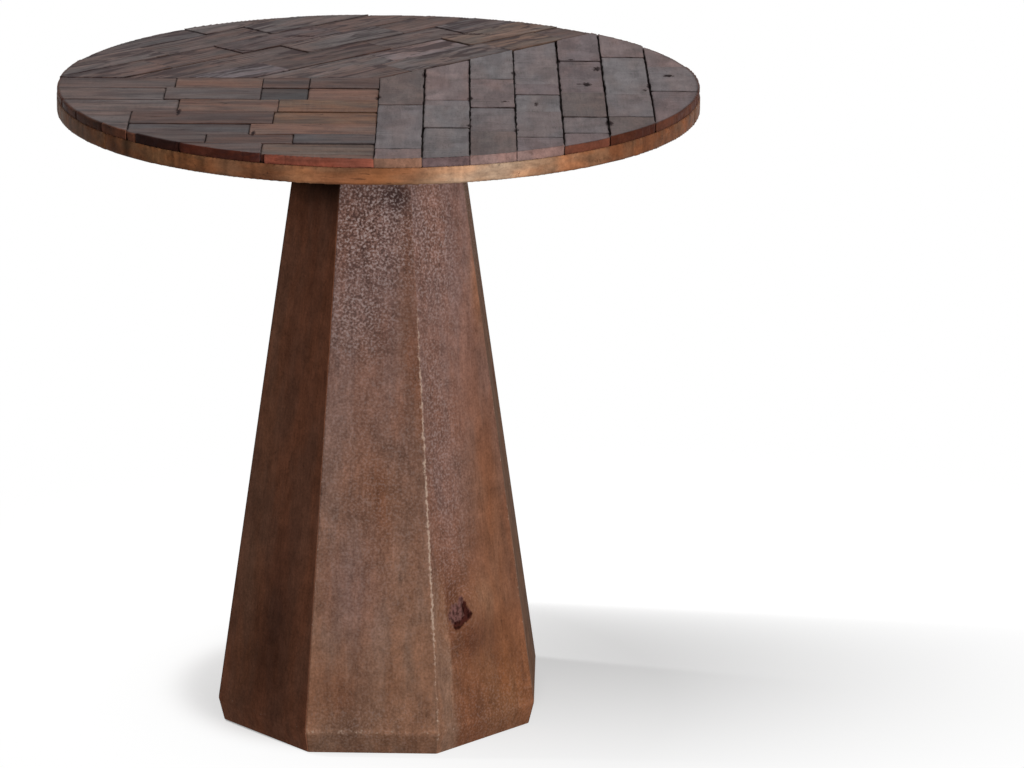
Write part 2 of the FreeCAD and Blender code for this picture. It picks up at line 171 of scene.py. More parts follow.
def makeCamera(look):
    camera = newObject("camera", bpy.data.cameras.new("camera"))
    camera.data.lens = look["lens"]
    camera.data.clip_end = 30
    around = math.radians(look["azimuth"])
    spot = Vector((math.sin(around), -math.cos(around), 0)) * look["distance"]
    spot.z = look["height"]
    turn = Matrix.Rotation(math.radians(look["heading"]), 4, "Z")
    tilt = Matrix.Rotation(math.radians(90 - look["tilt"]), 4, "X")
    roll = Matrix.Rotation(math.radians(look["roll"]), 4, "Z")
    camera.matrix_world = Matrix.Translation(spot) @ turn @ tilt @ roll
    bpy.context.scene.camera = camera


# a long narrow lamp draws the shadow on the floor, and two soft ones light the table
lightLook = {
    "floorLamp": {"azimuth": 173.5, "elevation": 66, "distance": 16.0, "size": (16.0, 0.45), "energy": 2450},
    "sideLamp": {"azimuth": -54, "elevation": 12, "distance": 4.2, "size": (1.8, 1.3), "energy": 150},
    "topLamp": {"azimuth": 105, "elevation": 62, "distance": 3.6, "size": (2.2, 2.0), "energy": 86},
    "ambient": 0.16,
}
floorLook = {
    "seenColour": 0.70,
    "bounceColour": 0.25,
    "glow": 0.44,
    "contactShade": 0.17,  # painted shade: the floor's glow softly less beside the foot, on its left
    "contactCentre": (-0.035, 0.045, 0.0),
    "contactReach": (0.135, 0.192),
    "fadeStart": (0.15, 0.205),  # the floor fades to white from this far off the same centre
    "shadowCentre": (0.22, 0.26, 0.0),
    "shadowSpread": (0.85, 0.62),  # how far it runs to the right and to the front before it is lost
}


def startNodes(owner):  # the nodes that follow are added to this material or world
    global tree
    owner.use_nodes = True
    tree = owner.node_tree
    tree.nodes.clear()


def newMaterial(name):
    material = bpy.data.materials.new(name)
    startNodes(material)
    return material


def addNode(kind, inputs=None, **settings):
    made = tree.nodes.new("ShaderNode" + kind)
    for name, value in settings.items():
        setattr(made, name, value)
    for socket, value in (inputs or {}).items():
        if isinstance(value, bpy.types.NodeSocket):
            tree.links.new(value, made.inputs[socket])
        else:
            made.inputs[socket].default_value = value
    return made


def calc(operation, first, second=0.0, third=0.0, clamp=False):
    inputs = {0: first, 1: second, 2: third} if operation == "MULTIPLY_ADD" else {0: first, 1: second}
    return addNode("Math", inputs, operation=operation, use_clamp=clamp).outputs[0]


def times(*values):
    total = values[0]
    for value in values[1:]:
        total = calc("MULTIPLY", total, value)
    return total


def blend(share, first, second, way="MIX"):
    return addNode("Mix", {0: share, 6: first, 7: second}, data_type="RGBA", blend_type=way).outputs[2]


def rescale(value, low, high, newLow=0.0, newHigh=1.0, smooth=True):
    kind = "SMOOTHSTEP" if smooth else "LINEAR"
    inputs = {"Value": value, "From Min": low, "From Max": high, "To Min": newLow, "To Max": newHigh}
    return addNode("MapRange", inputs, interpolation_type=kind).outputs[0]


def placeLamp(name, aim, upright=False):
    look = lightLook[name]
    lamp = newObject(name, bpy.data.lights.new(name, "AREA"))
    lamp.data.shape = "RECTANGLE"
    lamp.data.size, lamp.data.size_y = look["size"]
    lamp.data.energy = look["energy"]
    around, upwards = math.radians(look["azimuth"]), math.radians(look["elevation"])
    level = math.cos(upwards)
    way = Vector((math.cos(around) * level, math.sin(around) * level, math.sin(upwards)))
    side = Vector((-way.y, way.x, 0)).normalized()  # level, across the beam
    over = way.cross(side)
    axes = (over, side * -1, way) if upright else (side, over, way)
    spot = Vector(aim) + way * look["distance"]
    lamp.matrix_world = Matrix.Translation(spot) @ Matrix(axes).transposed().to_4x4()
    return lamp


def lightFloor(lamp, floor, wanted):  # whether the lamp lights the floor alone, or all but the floor
    lit = bpy.data.collections.new(lamp.name + "Lights")
    lit.objects.link(floor)
    lit.collection_objects[0].light_linking.link_state = "INCLUDE" if wanted else "EXCLUDE"
    lamp.light_linking.receiver_collection = lit


def seenDirectly():  # camera, mirror and glass rays
    rays = addNode("LightPath")
    seen = calc("ADD", rays.outputs["Is Camera Ray"], rays.outputs["Is Glossy Ray"])
    return calc("ADD", seen, rays.outputs["Is Transmission Ray"], clamp=True)


def ownPlace():
    return addNode("TexCoord").outputs["Object"]


def vectors(operation, first, second=(0, 0, 0)):
    return addNode("VectorMath", {0: first, 1: second}, operation=operation).outputs


def makeFloor():
    look = floorLook
    bpy.ops.mesh.primitive_plane_add(size=14)
    floor = bpy.context.active_object
    floor.name = "floor"
    material = newMaterial("palePaper")
    seen = seenDirectly()
    coords = ownPlace()
    beside = vectors("DISTANCE", coords, look["contactCentre"])["Value"]
    away = vectors("SUBTRACT", coords, look["shadowCentre"])[0]
    away = vectors("MULTIPLY", away, [1 / reach for reach in look["shadowSpread"]] + [1.0])[0]
    away = vectors("LENGTH", away)["Value"]
    fade = times(rescale(away, 0, 1), rescale(beside, *look["fadeStart"]))
    tooth = addNode("TexNoise", {"Vector": coords, "Scale": 900, "Detail": 2})
    paper = rescale(seen, 0, 1, look["bounceColour"], look["seenColour"], smooth=False)
    paper = calc("ADD", paper, times(tooth.outputs["Fac"], 0.01))
    shaded = addNode("BsdfDiffuse", {"Color": paper})
    # painted shade: the glow is less beside the foot
    contact = rescale(beside, *look["contactReach"], look["glow"] - look["contactShade"], look["glow"])
    glow = addNode("Emission", {"Strength": times(seen, contact)})
    near = addNode("AddShader", {0: shaded.outputs[0], 1: glow.outputs[0]})
    plain = addNode("Emission", {"Strength": 1.0})
    mixed = addNode("MixShader", {0: times(seen, fade), 1: near.outputs[0], 2: plain.outputs[0]})
    addNode("OutputMaterial", {"Surface": mixed.outputs[0]})
    floor.data.materials.append(material)
    return floor


def makeWorld():
    world = bpy.data.worlds.new("studio")
    startNodes(world)
    seen = seenDirectly()
    strength = rescale(seen, 0, 1, lightLook["ambient"], 1.0, smooth=False)
    sky = addNode("Background", {"Color": (1, 1, 1, 1), "Strength": strength})
    addNode("OutputWorld", {"Surface": sky.outputs[0]})
    bpy.context.scene.world = world
    bpy.context.scene.view_settings.view_transform = "Standard"


makeCamera(cameraLook)
makeWorld()
floor = makeFloor()
lightFloor(placeLamp("floorLamp", (0, 0, 0), upright=True), floor, True)
lightFloor(placeLamp("sideLamp", (0, 0, 0.35)), floor, False)
lightFloor(placeLamp("topLamp", (0, 0, 0.5)), floor, False)
print("camera, floor and light ready")


# wood

def painted(name, kind="Fac"):  # what is painted on the points of the mesh
    return addNode("Attribute", attribute_name=name).outputs[kind]


def grainSpace(look):  # where the pattern is read: turned to the grain, shifted for each board
    turn = (0, 0, math.radians(-look["grainHeading"]))
    turned = addNode("Mapping", {"Vector": ownPlace(), "Rotation": turn}).outputs[0]
    if "tone" in look:
        return turned
    return vectors("ADD", turned, painted("boardShift", "Vector"))[0]


def stretched(place, along, across, axis):
    scale = (along, across, across) if axis == "x" else (across, across, along)
    return addNode("Mapping", {"Vector": place, "Scale": scale}).outputs[0]


def noise(place, scale=1.0, detail=4.0, roughness=0.55, distortion=0.0):
    return addNode("TexNoise", {"Vector": place, "Scale": scale, "Detail": detail, "Roughness": roughness,
                                "Distortion": distortion}).outputs["Fac"]


def grained(place, size, axis, **settings):  # size is the repeats in a metre, along and across
    return noise(stretched(place, *size, axis), **settings)


def bump(height, depth, strength=1.0, under=None):
    inputs = {"Height": height, "Distance": depth, "Strength": strength}
    if under:
        inputs["Normal"] = under
    return addNode("Bump", inputs).outputs[0]


def shade(colour, factor):
    return addNode("VectorMath", {0: colour, "Scale": factor}, operation="SCALE").outputs[0]


def addSurface(inputs):
    surface = addNode("BsdfPrincipled", inputs)
    addNode("OutputMaterial", {"Surface": surface.outputs[0]})


def makeWood(name, look):
    material = newMaterial(name)
    axis = look["axis"]
    place = grainSpace(look)
    tone = look["tone"] if "tone" in look else painted("boardTone", "Color")

    drift = grained(place, look["driftSize"], axis, detail=2)
    casts = [blend(1.0, tone, look[cast], "MULTIPLY") for cast in ("coolCast", "warmCast")]
    colour = blend(rescale(drift, 0.38, 0.62), *casts)

    patterns = {
        "rings": grained(place, look["ringSize"], axis, detail=4, roughness=0.6, distortion=0.5),
        "streaks": grained(place, (24, 420), axis, detail=3, roughness=0.65),
        "mottle": noise(place, scale=look["mottleScale"], detail=3, roughness=0.6),
        "grit": noise(place, scale=look["gritScale"], detail=1, roughness=0.6),
    }
    level = 1.0 - sum(look["swing"].values()) / 2  # each pattern swings about its middle
    for part, amount in look["swing"].items():
        level = calc("MULTIPLY_ADD", patterns[part], amount, level)
    colour = shade(colour, level)

    warp = look.get("smudgeWarp", 0.4)
    smudge = grained(place, look["smudgeSize"], axis, detail=3, roughness=0.6, distortion=warp)
    smudge = times(rescale(smudge, *look.get("smudgeStep", (0.46, 0.64))), look["smudgeDark"])
    colour = blend(smudge, colour, look["smudgeColour"])

    pores = rescale(grained(place, (90, 1300), axis, detail=2), 0.60, 0.72)
    colour = blend(times(pores, look["poreDark"]), colour, look["poreColour"])

    split = grained(place, look["crackSize"], axis, detail=3, roughness=0.5, distortion=0.3)
    ridge = calc("ABSOLUTE", calc("SUBTRACT", split, 0.5))
    where = rescale(noise(place, scale=look["mottleScale"] * 1.3, detail=1), 0.50, 0.62)
    crack = times(rescale(ridge, 0.0, look["crackReach"], 1.0, 0.0), where, look["crackDark"])
    colour = blend(crack, colour, look["crackColour"])

    normal = bump(patterns["streaks"], look["streakDepth"], 0.8)
    normal = bump(patterns["grit"], look["gritDepth"], 0.8, normal)
    gloss = rescale(patterns["mottle"], 0.3, 0.7, *look["roughness"], smooth=False)

    if look.get("sawMarks"):  # faint straight marks across the grain
        inputs = {"Vector": stretched(place, 1, 0.10, axis), "Scale": 46, "Distortion": 5.0, "Detail": 3,
                  "Detail Scale": 2.0}
        saw = addNode("TexWave", inputs, bands_direction=axis.upper()).outputs["Fac"]
        marks = times(saw, rescale(noise(place, scale=13, detail=2), 0.50, 0.66))
        normal = bump(marks, 0.00025, 0.8, normal)
        colour = shade(colour, calc("MULTIPLY_ADD", marks, -look["sawMarks"], 1.0))
    if look.get("speckled"):  # painted highlight: the fine broken shine of a lacquered board, painted into the colour as pale specks, and its dark pits
        sheen = painted("sheen")
        speckle = noise(place, scale=look["speckleScale"], detail=2, roughness=0.5)
        paintedGlints = times(rescale(speckle, 0.50, 0.66), sheen, look["paintedGlintLight"])
        pits = times(rescale(speckle, 0.52, 0.36), calc("MULTIPLY_ADD", sheen, 0.85, 0.15), look["pitDark"])
        colour = blend(paintedGlints, colour, look["paintedGlintColour"])
        colour = blend(pits, colour, look["pitColour"])
    if look.get("knots"):
        ragScale, ragAmount = look["knotRags"]
        rags = noise(place, scale=ragScale, detail=3)
        ragged = calc("MULTIPLY_ADD", rags, ragAmount, 1 - ragAmount / 2)
        for mark, darkest in (("knot", "knotColour"), ("hollow", "hollowColour")):
            share = rescale(times(painted(mark), ragged), 0.24, 0.58)
            clouds = noise(place, scale=ragScale * 1.5, detail=2)
            clouds = rescale(clouds, 0.35, 0.65, 1.8, 0.5)
            colour = blend(times(share, 0.92), colour, shade(look[darkest][:3], clouds))
            gloss = calc("MULTIPLY_ADD", share, 0.15, gloss)
    if look.get("worn"):  # pale dots where an edge is rubbed through
        dots = noise(place, scale=260, detail=2, roughness=0.6)
        dots = calc("MULTIPLY_ADD", dots, 2.2, -1.1)
        rubbed = calc("ADD", painted("worn"), dots)
        colour = blend(times(rescale(rubbed, 0.50, 1.10), 0.64), colour, look["wornColour"])

    addSurface({"Base Color": colour, "Roughness": gloss, "Specular IOR Level": look["specular"],
                "Normal": normal})
    return material


weatheredWood = {
    "axis": "x",
    "driftSize": (11, 38),  # the sizes are repeats in a metre, along and across the grain
    "warmCast": (1.10, 0.97, 0.91, 1), "coolCast": (0.93, 0.99, 1.02, 1),
    "ringSize": (12, 120), "mottleScale": 42, "gritScale": 480,
    "swing": {"rings": 1.3, "streaks": 0.55, "mottle": 1.1, "grit": 0.4},
    "smudgeSize": (13, 62), "smudgeDark": 0.50, "smudgeColour": paint(48, 36, 38),
    "poreDark": 0.3, "poreColour": paint(38, 28, 27),
    "crackSize": (8, 80), "crackReach": 0.014, "crackDark": 0.65, "crackColour": paint(32, 24, 23),
    "streakDepth": 0.00015, "gritDepth": 0.00012, "sawMarks": 0.06,
    "knots": True, "knotRags": (420, 3.0), "knotColour": paint(42, 30, 30), "hollowColour": paint(20, 15, 16),
    "roughness": (0.46, 0.60), "specular": 0.02,
}

staveWood = {
    "axis": "z",
    "driftSize": (9, 46), "warmCast": (1.05, 0.98, 0.91, 1), "coolCast": (0.96, 1.00, 1.02, 1),
    "ringSize": (5, 120), "mottleScale": 60, "gritScale": 420, "speckleScale": 450,
    "swing": {"rings": 0.6, "streaks": 0.6, "mottle": 0.9, "grit": 0.5},
    "smudgeSize": (9, 34), "smudgeDark": 0.22, "smudgeColour": paint(84, 56, 46),
    "poreDark": 0.3, "poreColour": paint(58, 38, 30),
    "crackSize": (4, 110), "crackReach": 0.004, "crackDark": 0.5, "crackColour": paint(50, 32, 26),
    "streakDepth": 0.00012, "gritDepth": 0.00018,
    # painted highlight: the pale specks stand in for the shine of the lacquer, whose specular is none
    "speckled": True, "paintedGlintLight": 0.74, "paintedGlintColour": paint(176, 161, 158),
    "pitDark": 0.74, "pitColour": paint(50, 38, 38),
    "knots": True, "knotRags": (260, 1.6), "knotColour": paint(88, 60, 57), "hollowColour": paint(46, 18, 14),
    "worn": True, "wornColour": paint(196, 172, 154),
    "roughness": (0.45, 0.58), "specular": 0.0,
}


# the mosaic of blocks

mosaicLook = {
    "turn": 1.5,          # degrees, all three fields together
    "voxel": 0.0014,
    "topWear": 0.0004,
    "splits": 0.0006,
    "rimRadius": topRadius - 0.0028,
    "rimSwell": 0.0010,   # closes the joints where they come out at the rim
    "swellFrom": (-0.006, -0.001),  # this and the next three are measured from rimRadius
    "rimEdge": (0, 0.0008),         # where the rim's tone starts and is full
    "rimFace": (-0.0037, -0.0022),  # the same on faces that look outwards
    "rimOver": (-0.0014, 0.0006),   # and over the worn edge of the top
    "lowEdge": (-0.0072, -0.0088),  # from the height of the table, where the rim darkens downwards
    "groupSteps": 8,
    "lean": 0.22,         # degrees that a block may lie out of level
    "leanReach": 0.03,    # blocks that reach further from their middle lean less
    "topGap": 0.0001,     # keeps them under the height of the CAD
}
woodTones = palette(
    mauve=(107, 95, 96), mauveDark=(84, 71, 70), grey=(108, 100, 101), coolGrey=(109, 103, 104),
    greyBrown=(96, 85, 83), pinkTan=(117, 102, 101), rose=(106, 83, 74), tan=(106, 82, 68),
    buff=(102, 86, 78), umber=(82, 66, 62), drift=(88, 74, 71), teal=(68, 63, 63), slate=(82, 74, 74),
    gap=(30, 22, 20))  # gap is what shows down in a joint
rimTones = palette(
    oldBrown=(84, 54, 43), plum=(81, 42, 32), black=(52, 30, 26), tawny=(112, 74, 58), brick=(134, 76, 61),
    sand=(140, 106, 88), lilac=(112, 92, 92), shell=(140, 114, 108), russet=(104, 62, 48),
    maroon=(76, 41, 29), bark=(86, 52, 40))
# swell closes the joints where they are not worn, ends is its share at the block ends, sideWear is how
# far the sides are worn back, notches the few deeper chips, jointDark how black the joints are and
# edgeShade how dark it is beside them; one tone for each block, from the hub outwards, and the second
# list is what shows on the rim
mosaicFields = {
    "column": {
        "heading": -90, "swell": 0.0005, "ends": 0.9,
        "sideWear": 0.0012, "notches": 0.0013, "jointDark": 0.95, "edgeShade": 0.82,
        "look": {"swing": {"rings": 0.7, "streaks": 0.35, "mottle": 1.2, "grit": 0.5}, "smudgeSize": (20, 34),
                 "smudgeDark": 0.30, "crackDark": 0.25, "warmCast": (1.05, 0.98, 0.95, 1),
                 "coolCast": (0.97, 0.99, 1.0, 1)},
        "slot": "mosaic_column_wood",
        # the greys and mauves of these blocks are partly their own tone and partly a painted shine of the
        # top, whose specular is low
        "strips": [
            ["greyBrown", "grey", "pinkTan"],
            ["pinkTan", "grey", "coolGrey", "coolGrey"],
            ["coolGrey", "pinkTan", "grey", "greyBrown"],
            ["grey", "mauve", "coolGrey", "grey", "mauve"],
            ["mauve", "mauve", "greyBrown", "grey", "mauve"],
            ["pinkTan", "coolGrey", "grey", "greyBrown"],
            ["pinkTan", "grey", "mauve"]],
        "rim": ["sand", "lilac", "shell", "shell", "russet", "maroon", "bark"],
    },
    "diagonal": {
        "heading": 45, "swell": 0.00075, "ends": 0.95,
        "sideWear": 0.0004, "notches": 0.0009, "jointDark": 0.1, "edgeShade": 0.88,
        "look": {"swing": {"rings": 1.8, "streaks": 0.6, "mottle": 1.4, "grit": 0.4}, "smudgeDark": 0.85,
                 "smudgeStep": (0.50, 0.61), "smudgeWarp": 1.3},
        "slot": "mosaic_diagonal_wood",
        "strips": [
            ["drift", "greyBrown", "buff", "drift"],
            ["greyBrown", "pinkTan", "buff"],
            ["mauve", "umber", "drift", "slate"],
            ["drift", "greyBrown", "drift"],
            ["drift", "drift", "mauveDark", "drift"],
            ["greyBrown", "drift", "greyBrown"],
            ["slate", "greyBrown"]],
        "rim": ["oldBrown", "oldBrown", "oldBrown", "bark", "bark", "oldBrown", "oldBrown"],
    },
    "row": {
        "heading": 180, "swell": 0.00075, "ends": 0.8,
        "sideWear": 0.0004, "notches": 0.0010, "jointDark": 0.2, "edgeShade": 0.80,
        "look": {"smudgeDark": 0.45},
        "slot": "mosaic_row_wood",
        "strips": [
            ["umber", "umber", "rose", "drift"],
            ["rose", "teal", "greyBrown", "greyBrown"],
            ["tan", "rose", "greyBrown"],
            ["tan", "umber", "greyBrown"],
            ["rose", "slate", "greyBrown"],
            ["slate", "umber", "drift"],
            ["buff", "drift"],
            ["rose"]],
        "rim": ["oldBrown", "oldBrown", "oldBrown", "oldBrown", "tawny", "black", "plum", "brick"],
    },
}
# dark knots and pits in the top, where they show in plan: x, y, reach across and along, strength
topKnots = [
    (0.197, 0.002, 0.0045, 0.009, 1.0), (0.190, 0.003, 0.0040, 0.006, 0.55),
    (0.207, 0.069, 0.0048, 0.011, 0.9), (0.275, 0.040, 0.0055, 0.006, 1.0),
    (0.169, 0.099, 0.0026, 0.011, 1.0), (0.181, 0.107, 0.0050, 0.004, 0.65),
    (0.120, -0.075, 0.0060, 0.005, 0.6), (0.150, -0.083, 0.0022, 0.012, 0.7),
    (0.252, -0.020, 0.0030, 0.008, 0.6), (0.256, -0.004, 0.0022, 0.012, 1.0),
    (0.218, -0.158, 0.0040, 0.011, 1.0), (0.127, 0.044, 0.0026, 0.008, 1.0),
    (0.088, -0.064, 0.0026, 0.009, 1.0), (0.090, -0.173, 0.0026, 0.007, 0.9),
    (0.133, -0.189, 0.0026, 0.007, 0.9), (0.042, 0.031, 0.0024, 0.012, 0.9),
    (-0.179, -0.133, 0.0022, 0.014, 1.0), (-0.105, -0.212, 0.0022, 0.012, 0.85),
    (0.002, -0.065, 0.0030, 0.008, 0.9), (-0.085, 0.198, 0.0220, 0.006, 0.6),
    (0.078, 0.215, 0.0300, 0.005, 0.7), (-0.138, 0.131, 0.0180, 0.005, 0.6),
]


def makeTexture(name, scale, depth, steps=None):
    texture = bpy.data.textures.new(name, "CLOUDS")
    texture.noise_scale = scale
    texture.noise_depth = depth
    if steps:  # only the lowest parts of the pattern cut in
        texture.use_color_ramp = True
        for stop, position, tone in zip(texture.color_ramp.elements, steps, (0, 1)):
            stop.position, stop.color = position, (tone, tone, tone, 1)


def wear(piece, texture, reach, guide, group=None):  # worn back from the surface, never built up
    modifier = piece.modifiers.new("wear", "DISPLACE")
    modifier.texture = bpy.data.textures[texture]
    modifier.texture_coords = "OBJECT"
    modifier.texture_coords_object = guide
    modifier.mid_level = 1.0
    modifier.strength = reach
    if group:
        modifier.vertex_group = group
    return modifier


def makeGuides(sizes):  # empties whose scale stretches the wear along the grain
    guides = {}
    for name, size in sizes.items():
        guides[name] = newObject(name + "Guide")
        guides[name].scale = size
    return guides


def moveGuides(guides, chance):
    for guide in guides.values():
        guide.location = chance.uniform(-2, 2, 3)


def dropGuides(guides):
    for guide in guides.values():
        bpy.data.objects.remove(guide)


def fromAxis(places, normals):  # how far off the axis each point is, and how far it looks outwards
    radius = np.hypot(*places.T[:2])
    return radius, np.sum(places[:, :2] * normals[:, :2], 1) / radius


def groupSides(piece, field):  # the sides, and of them the joints, where neighbours face each other
    places, normals = pointData(piece)
    look = mosaicLook
    radius, outwards = fromAxis(places, normals)
    nearRim = riseFrom(radius, look["rimRadius"], look["swellFrom"])
    inside = (radius < look["rimRadius"]) | (outwards < 0.5)
    sides = (1 - np.abs(normals[:, 2])) * (1 - nearRim * inside)
    share = field["swell"] / look["rimSwell"]
    joints = np.maximum(np.abs(normals[:, 1]), np.abs(normals[:, 0]) * field["ends"]) * inside
    joints = joints * (share + (1 - share) * nearRim)
    steps = look["groupSteps"]
    for name, shares in (("sides", sides), ("joints", joints)):
        group = piece.vertex_groups.new(name=name)
        for step in range(1, steps + 1):
            chosen = np.where((shares > (step - 1) / steps) & (shares <= step / steps + 0.001))[0]
            group.add(chosen.tolist(), step / steps, "REPLACE")


def knotStrength(places, knots):
    strength = np.zeros(len(places))
    for x, y, acrossX, acrossY, amount in knots:
        away = ((places[:, 0] - x) / acrossX) ** 2 + ((places[:, 1] - y) / acrossY) ** 2
        strength = np.maximum(strength, amount * np.exp(-away))
    return strength


def shapeBlock(block, field, guides, chance):
    remesh(block, mosaicLook["voxel"])
    groupSides(block, field)
    moveGuides(guides, chance)
    swell = block.modifiers.new("swell", "DISPLACE")  # neighbours all but touch where they are not worn
    swell.mid_level = 0
    swell.strength = mosaicLook["rimSwell"]
    swell.vertex_group = "joints"
    wear(block, "edges", field["sideWear"], guides["even"], "sides")
    wear(block, "notches", field["notches"], guides["even"], "sides")
    wear(block, "clouds", mosaicLook["topWear"], guides["long"])
    wear(block, "splits", mosaicLook["splits"], guides["split"])
    applyModifiers(block)


def leanBlock(block, chance):  # a little out of level, and let down so that no corner rises
    places, normals = pointData(block)
    middle = (places.max(0) + places.min(0)) / 2
    reach = (places.max(0) - places.min(0)) / 2
    lean = math.radians(mosaicLook["lean"])
    leanX = chance.uniform(-1, 1) * lean * min(1, mosaicLook["leanReach"] / reach[0])
    leanY = chance.uniform(-1, 1) * lean
    share = rise(places[:, 2], places[:, 2].min(), places[:, 2].max())
    drop = (places[:, 0] - middle[0]) * leanX + (places[:, 1] - middle[1]) * leanY
    drop -= abs(leanX) * reach[0] + abs(leanY) * reach[1]
    places[:, 2] += (drop * share).astype(np.float32)
    places[:, 2] = np.minimum(places[:, 2], tableHeight - mosaicLook["topGap"])
    movePoints(block, places)


def toneBlock(block, field, tone, rimTone, chance):
    look = mosaicLook
    places, normals = pointData(block)
    upright = 1 - np.abs(normals[:, 2])[:, None]
    radius, outwards = (measure[:, None] for measure in fromAxis(places, normals))
    onRim = np.maximum(riseFrom(radius, look["rimRadius"], look["rimEdge"]),
                       rise(outwards, 0.5, 0.8) * riseFrom(radius, look["rimRadius"], look["rimFace"]))
    edge = 1 - (1 - field["edgeShade"]) * rise(upright, 0.0, 0.25)
    face = tone * chance.uniform(0.96, 1.10) * edge
    lowEdge = 1 - 0.12 * riseFrom(places[:, 2], tableHeight, look["lowEdge"])[:, None]
    jointTone = between(face * 0.6, woodTones["gap"], field["jointDark"])
    sideTone = between(jointTone, rimTone * lowEdge, onRim)
    side = np.maximum(rise(upright, 0.40, 0.75), riseFrom(radius, look["rimRadius"], look["rimOver"]))
    paintBoard(block, between(face, sideTone, side), chance.uniform(-3, 3, 3))
    marks = knotStrength(places, topKnots) * (1 - side[:, 0])
    paintPoints(block, "knot", marks)
    paintPoints(block, "hollow", marks * marks * 0.8)


def makeStrip(fieldName, number, field, material, guides, chance):
    nodeName = "mosaic_%s_%d" % (fieldName, number)
    heading = field["heading"] + mosaicLook["turn"]
    strip = copyNode(nodeName, nodeName + "_blocks")
    turnAboutAxis(-heading, strip)  # the strip now runs along X, square to the voxels
    bpy.ops.mesh.separate(type="LOOSE")
    blocks = sorted(bpy.context.selected_objects, key=lambda block: min(spot[0] for spot in block.bound_box))
    tones = [woodTones[tone] for tone in field["strips"][number - 1]]
    for block in blocks:
        shapeBlock(block, field, guides, chance)
        leanBlock(block, chance)
    turnAboutAxis(heading, *blocks)
    for place, block in enumerate(blocks):
        toneBlock(block, field, tones[min(place, len(tones) - 1)], rimTones[field["rim"][number - 1]], chance)
    pickOnly(*blocks)
    if len(blocks) > 1:
        bpy.ops.object.join()
    strip = bpy.context.active_object
    strip.name = nodeName + "_blocks"
    strip.vertex_groups.clear()
    bpy.ops.object.shade_smooth()
    strip.data.materials.append(material)
    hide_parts(nodeName)
    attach(strip, "root")


makeTexture("clouds", 0.25, 3)
makeTexture("edges", 0.25, 3, (0.30, 0.60))
makeTexture("notches", 0.25, 2, (0.16, 0.26))
makeTexture("splits", 0.25, 2, (0.12, 0.22))
makeTexture("dent", 0.006, 2)
chance = np.random.RandomState(11)  # a fixed run of numbers, so that every build is the same
guides = makeGuides({"even": (0.05, 0.05, 0.08), "long": (0.30, 0.05, 0.05), "split": (0.14, 0.012, 0.03)})
for fieldName, field in mosaicFields.items():
    look = dict(weatheredWood, grainHeading=field["heading"] + mosaicLook["turn"], **field["look"])
    fieldWood = makeWood("weathered_%s_wood" % fieldName, look)
    for number in range(1, len(field["strips"]) + 1):
        makeStrip(fieldName, number, field, fieldWood, guides, chance)
    print("mosaic field ready:", fieldName)
dropGuides(guides)


# the board under the mosaic

coreLook = {
    "voxel": 0.002,
    "wear": 0.0005,
    "chips": 0.0010,
    "jointSwell": 0.0012,      # closes the glued joints, which the fine mesh rounds off
    "swellFrom": (0.006, 0.001),  # from the joint
    "jointReach": topRadius - 0.015,  # an edge further out than this is the rim and no joint
    "rimGap": 0.0002,          # keeps the planks inside the CAD
    "rimEdge": (-0.005, -0.001),  # from the radius of the top, where the rim's tone starts and is full
    "coverReach": topRadius - 0.002,
    "lowEdge": (-0.0215, -0.0245),  # from the height of the table, where the rim darkens downwards
    "plankTones": ["rust", "honey", "rust", "honey", "rust"],
    # what the rim shows: degrees from the front, anticlockwise from above, and the tone there
    "rim": [(-80, "umber"), (-60, "rust"), (-47, "orangeBrown"), (-39, "amber"), (-32, "amber"),
            (-24, "orangeBrown"), (-19, "orangeBrown"), (-16, "clay"), (-13, "honey"), (-11, "gold"),
            (-8, "honey"), (-5, "orangeBrown"), (-2, "orangeBrown"), (3, "amber"), (8, "honey"),
            (12, "cream"), (18, "pale"), (24, "pale"), (29, "cream"), (36, "honey"), (41, "honey"),
            (46, "clay"), (72, "clay"), (90, "umber")],
    # dark streaks that run down the rim: their number, the degrees between which they lie, their strength
    "stains": [(34, -95, -18, 0.40), (26, 38, 95, 0.25), (60, 95, 265, 0.30)],
    "stainWidth": (0.3, 0.9),  # degrees
}
coreTones = palette(
    umber=(104, 76, 60), rust=(120, 82, 58), orangeBrown=(124, 84, 60), amber=(136, 92, 62),
    clay=(110, 72, 50), honey=(148, 104, 76), gold=(170, 120, 86), cream=(162, 126, 100),
    pale=(186, 152, 126), soot=(34, 25, 22))
coreWood = dict(weatheredWood, grainHeading=0, driftSize=(10, 60), ringSize=(9, 110), mottleScale=45,
                swing={"rings": 1.1, "streaks": 0.6, "mottle": 1.0, "grit": 0.4}, crackSize=(7, 95),
                crackReach=0.008, smudgeSize=(16, 60), smudgeDark=0.30, smudgeColour=paint(84, 52, 38),
                poreColour=paint(60, 38, 28), knots=False, roughness=(0.45, 0.6), specular=0.04,
                sawMarks=0.12, warmCast=(1.10, 0.97, 0.86, 1), coolCast=(0.92, 0.98, 1.0, 1))


def rimTone(degrees):
    stops = [stop for stop, tone in coreLook["rim"]]
    tones = np.array([coreTones[tone] for stop, tone in coreLook["rim"]])
    return np.stack([np.interp(degrees, stops, tones[:, part]) for part in range(3)], 1)


def stainRim(degrees):
    kept = np.ones(len(degrees))
    stains = np.random.RandomState(5)
    for count, start, end, strength in coreLook["stains"]:
        for stain in range(count):
            middle = stains.uniform(start, end)
            reach = stains.uniform(*coreLook["stainWidth"])
            amount = stains.uniform(0.1, strength)
            away = (degrees - middle + 180) % 360 - 180
            kept *= 1 - amount * np.exp(-(away / reach) ** 2)
        inside = rise((degrees - start) % 360, 0, 4) * rise((end - degrees) % 360, 0, 4)
        kept *= 1 + 0.5 * strength * inside * ((degrees - start) % 360 < end - start)
    return kept[:, None]


